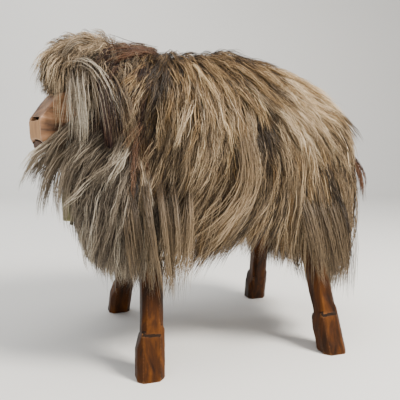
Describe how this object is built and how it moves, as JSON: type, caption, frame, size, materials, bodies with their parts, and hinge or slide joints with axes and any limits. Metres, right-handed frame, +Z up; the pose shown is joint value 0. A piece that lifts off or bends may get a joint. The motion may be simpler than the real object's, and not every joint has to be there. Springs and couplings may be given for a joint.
{
  "type": "shaggy goat footstool with bell",
  "caption": "Footstool in the shape of a standing long-haired goat: padded body under hide, carved wooden head, staked legs, collar and hanging bell.",
  "frame": {"origin": "on the floor, under the middle of the goat's box", "axes": "the goat faces -Y, its left side is +X, +Z up"},
  "size_m": [0.3278, 0.5568, 0.489],
  "materials": {
    "frame_wood": "plain planed softwood, unfinished",
    "stained_wood": "dark red-brown stain under worn satin varnish, streaky grain",
    "carved_head_wood": "red-brown stain under varnish, bare pale wood on the flat of the nose",
    "eye_bead": "glossy pale bead with a dark pupil",
    "steel_fixings": "dull plated steel",
    "stuffing": "stuffing under calico",
    "body_fleece": "long glossy grey-brown goat hair with pale tips",
    "neck_fleece": "long grey-brown hair, redder over the shoulder",
    "head_fleece": "olive-brown fluffy hair with pale strands",
    "tail_hair": "red-brown hair",
    "brass_fittings": "aged brass",
    "collar_leather": "worn dark brown leather",
    "iron_wire": "dark iron wire",
    "bell_metal": "dull olive-brown patinated sheet",
    "clapper_iron": "dark iron"
  },
  "bodies": {
    "goat": {"seat_board": "frame_wood", "front_leg_block": "frame_wood", "rear_leg_block": "frame_wood", "front_left_leg": "stained_wood", "front_right_leg": "stained_wood", "rear_left_leg": "stained_wood", "rear_right_leg": "stained_wood", "leg_wedges": "stained_wood", "block_screws": "steel_fixings", "neck_post": "frame_wood", "neck_bolts": "steel_fixings", "neck_washers": "steel_fixings", "head": "carved_head_wood", "head_dowel": "frame_wood", "head_screw": "steel_fixings", "eye_left": "eye_bead", "eye_right": "eye_bead", "body_padding": "stuffing", "neck_padding": "stuffing", "body_sheepskin": "body_fleece", "neck_sheepskin": "neck_fleece", "head_sheepskin": "head_fleece", "ear_left": "head_fleece", "ear_right": "head_fleece", "tail": "tail_hair", "hide_tacks": "brass_fittings", "collar_strap": "collar_leather", "collar_buckle": "brass_fittings", "buckle_prong": "brass_fittings", "strap_keeper": "collar_leather", "bell_staple": "iron_wire", "staple_rivets": "brass_fittings"},
    "ring": {"bell_ring": "iron_wire"},
    "bell": {"bell_shell": "bell_metal", "bell_crown_loop": "iron_wire", "bell_rivets": "bell_metal"},
    "clapper": {"clapper": "clapper_iron"}
  },
  "joints": [
    {"name": "ring_swing", "type": "hinge", "parent": "goat", "child": "ring", "pos_m": [0, -0.2205, 0.279], "axis": [0, 1, 0], "range_deg": [-18, 18]},
    {"name": "bell_swing", "type": "hinge", "parent": "ring", "child": "bell", "pos_m": [0, -0.2205, 0.2639], "axis": [1, 0, 0], "range_deg": [-22, 8]},
    {"name": "clapper_swing", "type": "hinge", "parent": "bell", "child": "clapper", "pos_m": [0, -0.2205, 0.2441], "axis": [0, 1, 0], "range_deg": [-12, 12]}
  ]
}
